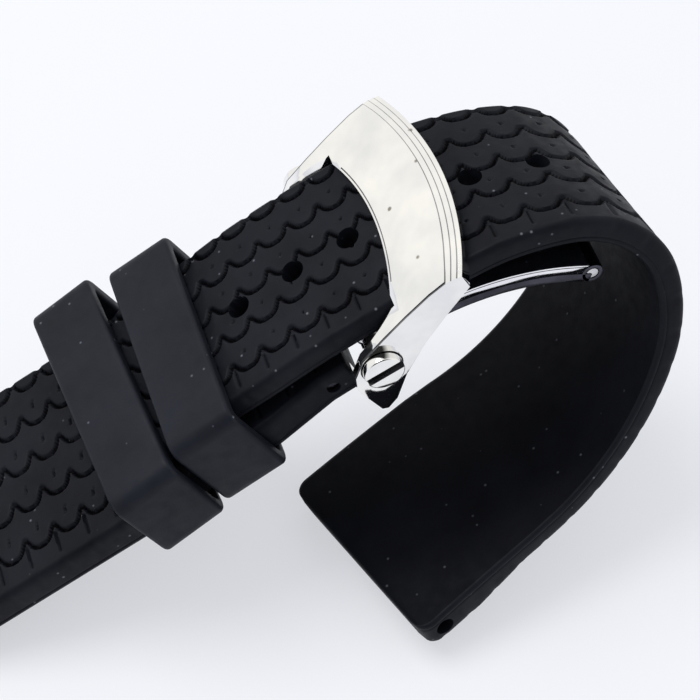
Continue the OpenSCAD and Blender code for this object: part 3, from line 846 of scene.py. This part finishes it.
def ramp_node(tree, value, low, high, a, b):
    """From a, where the value is low, to b, where it is high"""
    node = add(tree, "ShaderNodeMapRange", clamp=True)
    node.inputs["From Min"].default_value = low
    node.inputs["From Max"].default_value = high
    node.inputs["To Min"].default_value = a
    node.inputs["To Max"].default_value = b
    tree.links.new(value, node.inputs["Value"])
    return node.outputs["Result"]


def bump(tree, shader, height, distance, strength=1.0):
    node = add(tree, "ShaderNodeBump")
    node.inputs["Distance"].default_value = distance
    node.inputs["Strength"].default_value = strength
    tree.links.new(height, node.inputs["Height"])
    tree.links.new(node.outputs["Normal"], shader.inputs["Normal"])


def spots(tree, coord, scale, inner, outer, rarity):
    """1 in small spots that lie in some of a pattern's cells, and 0 elsewhere"""
    cells = add(tree, "ShaderNodeTexVoronoi")
    cells.inputs["Scale"].default_value = scale
    tree.links.new(coord, cells.inputs["Vector"])
    near = ramp_node(tree, cells.outputs["Distance"], inner, outer, 1, 0)
    chosen = ramp_node(tree, cells.outputs["Color"], rarity, rarity + 0.02, 0, 1)
    return maths(tree, "MULTIPLY", near, chosen)


# Colours of the specks on rubber and of the spots on steel
DUST, DIRT = (0.13, 0.135, 0.15), (0.3, 0.28, 0.24)


def rubber(name, low, high, gloss, dusty):
    """Matt rubber of a shade between two, with specks of dust"""
    mat, tree, shader = material(name, low, 0, 0.5, gloss)
    coord = add(tree, "ShaderNodeTexCoord").outputs["Object"]
    shade = ramp_node(tree, noise(tree, coord, scale=160, detail=3), 0.3, 0.7, 0, 1)
    colour = mixed(tree, low, high, shade)
    specks = spots(tree, coord, scale=820, inner=0.05, outer=0.13, rarity=0.6)
    colour = mixed(tree, colour, DUST, maths(tree, "MULTIPLY", specks, dusty))
    tree.links.new(colour, shader.inputs["Base Color"])
    rough = ramp_node(tree, noise(tree, coord, scale=900, detail=4), 0.3, 0.7, 0.44, 0.6)
    tree.links.new(rough, shader.inputs["Roughness"])
    bump(tree, shader, noise(tree, coord, scale=4200, detail=3), distance=0.00002, strength=0.5)
    return mat


def steel(name, low, high, roughness, wave, spotted):
    """Steel of a shade between two, with fine wear and, if spotted, small dirt spots"""
    mat, tree, shader = material(name, low, 1.0, roughness)
    coord = add(tree, "ShaderNodeTexCoord").outputs["Object"]
    clouds = noise(tree, coord, scale=150, detail=3, roughness=0.6)
    shade = mixed(tree, low, high, ramp_node(tree, clouds, 0.36, 0.66, 0, 1))
    if spotted:
        shade = mixed(tree, shade, DIRT, spots(tree, coord, scale=330, inner=0.05, outer=0.09, rarity=0.6))
    tree.links.new(shade, shader.inputs["Base Color"])
    wear = noise(tree, coord, scale=700, detail=4, roughness=0.7)
    rough = ramp_node(tree, wear, 0.35, 0.75, roughness * 0.6, roughness * 1.8)
    tree.links.new(rough, shader.inputs["Roughness"])
    bump(tree, shader, noise(tree, coord, scale=180), wave)
    return mat


# Stage

FLOOR_HALF, FLOOR_COLOUR, GLOW_COLOUR, FLOOR_GLOW = 3.0, (0.98, 0.975, 0.96), (0.95, 0.96, 1), 0.55
AMBIENT, ROOM_TINT, MIRROR_TINT, WHITE = 0.7, (0.85, 0.885, 1.0), (1.0, 0.995, 0.97), (1.0, 1.0, 1.0)
# The room's dark side is where the photographer is. Its edge is two cosines of the angle from its middle.
DARK_SIDE, DARK_EDGE, DARK_LEVEL = (-0.2, -0.75, 0.63), (0.62, 0.86), 0.03
KEY_PLACE, KEY_SIZE, KEY_POWER = Vector((-0.2, 0.12, 0.55)), 0.4, 1.65


def make_floor(low):
    """A pale floor that glows for rays from the camera or a mirror"""
    mesh = bpy.data.meshes.new("floor")
    h = FLOOR_HALF
    mesh.from_pydata([(-h, -h, low), (h, -h, low), (h, h, low), (-h, h, low)], [], [(0, 1, 2, 3)])
    floor = bpy.data.objects.new("floor", mesh)
    bpy.context.scene.collection.objects.link(floor)
    mat, tree, shader = material("pale_floor", FLOOR_COLOUR, 0, 0.8, 0.1)
    glow = add(tree, "ShaderNodeEmission")
    feed(tree, glow.inputs["Color"], GLOW_COLOUR)
    path = add(tree, "ShaderNodeLightPath")
    direct = maths(tree, "MAXIMUM", path.outputs["Is Camera Ray"], path.outputs["Is Glossy Ray"])
    mix = add(tree, "ShaderNodeMixShader")
    feed(tree, mix.inputs["Fac"], maths(tree, "MULTIPLY", direct, FLOOR_GLOW))
    tree.links.new(shader.outputs["BSDF"], mix.inputs[1])
    tree.links.new(glow.outputs["Emission"], mix.inputs[2])
    tree.links.new(mix.outputs["Shader"], tree.nodes["Material Output"].inputs["Surface"])
    dress(floor, mat)


def make_world():
    """A pale studio, white where the camera sees it, with a dark side that shows only in reflections"""
    world = bpy.data.worlds.new("studio")
    bpy.context.scene.world = world
    world.use_nodes = True
    tree = world.node_tree
    path = add(tree, "ShaderNodeLightPath")
    mirrored = path.outputs["Is Glossy Ray"]
    coord = add(tree, "ShaderNodeTexCoord")
    toward = add(tree, "ShaderNodeVectorMath", operation="DOT_PRODUCT")
    toward.inputs[1].default_value = DARK_SIDE
    tree.links.new(coord.outputs["Generated"], toward.inputs[0])
    room = ramp_node(tree, toward.outputs["Value"], *DARK_EDGE, 1, DARK_LEVEL)
    shade = mixed(tree, AMBIENT, room, mirrored, "FLOAT")
    seen = maths(tree, "MAXIMUM", path.outputs["Is Camera Ray"], path.outputs["Is Transmission Ray"])
    tint = mixed(tree, ROOM_TINT, MIRROR_TINT, mirrored)
    background = tree.nodes["Background"]
    feed(tree, background.inputs["Strength"], mixed(tree, shade, 1, seen, "FLOAT"))
    feed(tree, background.inputs["Color"], mixed(tree, tint, WHITE, seen))


def area_light(name, place, target, size, power):
    data = bpy.data.lights.new(name, "AREA")
    data.shape = "DISK"
    data.size = size
    data.energy = power
    light = bpy.data.objects.new(name, data)
    light.location = place
    light.rotation_euler = (Vector(target) - Vector(place)).to_track_quat("-Z", "Y").to_euler()
    bpy.context.scene.collection.objects.link(light)


# The photograph's view, fitted to the strap: direction to the camera and its distance, as seen from the
# buckle bar, then the lens, and the bar's place in the picture
TOWARD_CAMERA = Vector((-0.2006, -0.648, 0.735)).normalized()
DISTANCE = 0.25
FOCAL_PX, FRAME_PX, SENSOR = 2788, 700, 36
BAR_PX = (342.6, 273.0)


def make_camera():
    data = bpy.data.cameras.new("camera")
    data.sensor_width = SENSOR
    data.lens = SENSOR * FOCAL_PX / FRAME_PX
    data.clip_start = 0.01
    data.clip_end = 20
    camera = bpy.data.objects.new("camera", data)
    right = Vector((0, 0, 1)).cross(TOWARD_CAMERA).normalized()
    up = TOWARD_CAMERA.cross(right)
    ahead = (
        -TOWARD_CAMERA + right * (FRAME_PX / 2 - BAR_PX[0]) / FOCAL_PX
        - up * (FRAME_PX / 2 - BAR_PX[1]) / FOCAL_PX
    )
    camera.location = BAR + TOWARD_CAMERA * DISTANCE
    camera.rotation_euler = ahead.to_track_quat("-Z", "Y").to_euler()
    bpy.context.scene.collection.objects.link(camera)
    bpy.context.scene.camera = camera


make_camera()
KEEPER_RUBBER = rubber("keeper_rubber", (0.0082, 0.0093, 0.0138), (0.014, 0.0158, 0.0228), 0.15, 0.9)
RUBBER = rubber("strap_rubber", (0.0052, 0.0057, 0.0082), (0.011, 0.012, 0.0162), 0.1, 1)
# Darker rubber that paints the shade down in the tread's grooves
GROOVE_SHADE_RUBBER = rubber("groove_shade_rubber", (0.0022, 0.0022, 0.003), (0.0048, 0.0048, 0.0062), 0.05, 0.2)
# Darker rubber for the strap's underside, which paints the shade inside the loop
INNER_SHADE_RUBBER = rubber("inner_shade_rubber", (0.0026, 0.0029, 0.0045), (0.0055, 0.0061, 0.0088), 0.05, 0.5)
POLISHED = steel("polished_steel", (0.8, 0.8, 0.8), (0.95, 0.935, 0.9), 0.05, 0.00001, True)
# Darker steel that paints shade into creases, slots, recesses and steps, and along the frame's rounded
# edges
PAINTED_SHADE_STEEL = steel("painted_shade_steel", (0.16, 0.16, 0.17), (0.4, 0.4, 0.42), 0.3, 0.00001, False)
BLADE_STEEL = steel("blade_steel", (0.8, 0.8, 0.83), (0.9, 0.9, 0.92), 0.1, 0.00001, False)
# Near-black steel that paints the shade under the upper blade onto the lower blade, its barrel and the
# strap pin
LOWER_SHADE_STEEL = steel("lower_shade_steel", (0.035, 0.035, 0.045), (0.08, 0.08, 0.1), 0.3, 0.00001, False)
PIN_STEEL = steel("pin_steel", (0.3, 0.3, 0.31), (0.8, 0.8, 0.82), 0.25, 0.00002, False)

long_strap = make_long_strap()
make_short_strap()
rib = stop_rib()
fixed_keeper = make_keeper(
    "fixed_keeper_rubber", "fixed_keeper", "lower_clasp", FIXED_KEEPER_U, GROOVE_W + 2 * KEEPER_CLEAR, 0
)
# The free keeper sits a little askew, so its opening has room for the strap at that angle.
free_keeper = make_keeper(
    "free_keeper_rubber", "free_keeper", "loose_keeper", FIXED_KEEPER_U + KEEPER_L + KEEPER_GAP,
    LUG_W + 2 * KEEPER_CLEAR + KEEPER_L * math.sin(math.radians(ASKEW)), ASKEW
)
dress(rib, RUBBER)
dress(fixed_keeper, KEEPER_RUBBER)
dress(free_keeper, KEEPER_RUBBER)
make_upper_blade()
make_lower_blade()
make_frame()
make_screws()
for node in ("strap_pin_sleeve", "latch_stud", "hinge_pin", "latch_spring", "frame_bar", "buckle_peg"):
    dress(frame["nodes"][node], PIN_STEEL)
# The strap pin gets the same painted shade.
dress(frame["nodes"]["strap_pin"], LOWER_SHADE_STEEL)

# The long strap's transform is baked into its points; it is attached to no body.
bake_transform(long_strap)

make_floor(CAD_BOX[0].z)
make_world()
area_light("key", BAR + KEY_PLACE, BAR, KEY_SIZE, KEY_POWER)
bpy.context.scene.view_settings.view_transform = "Standard"
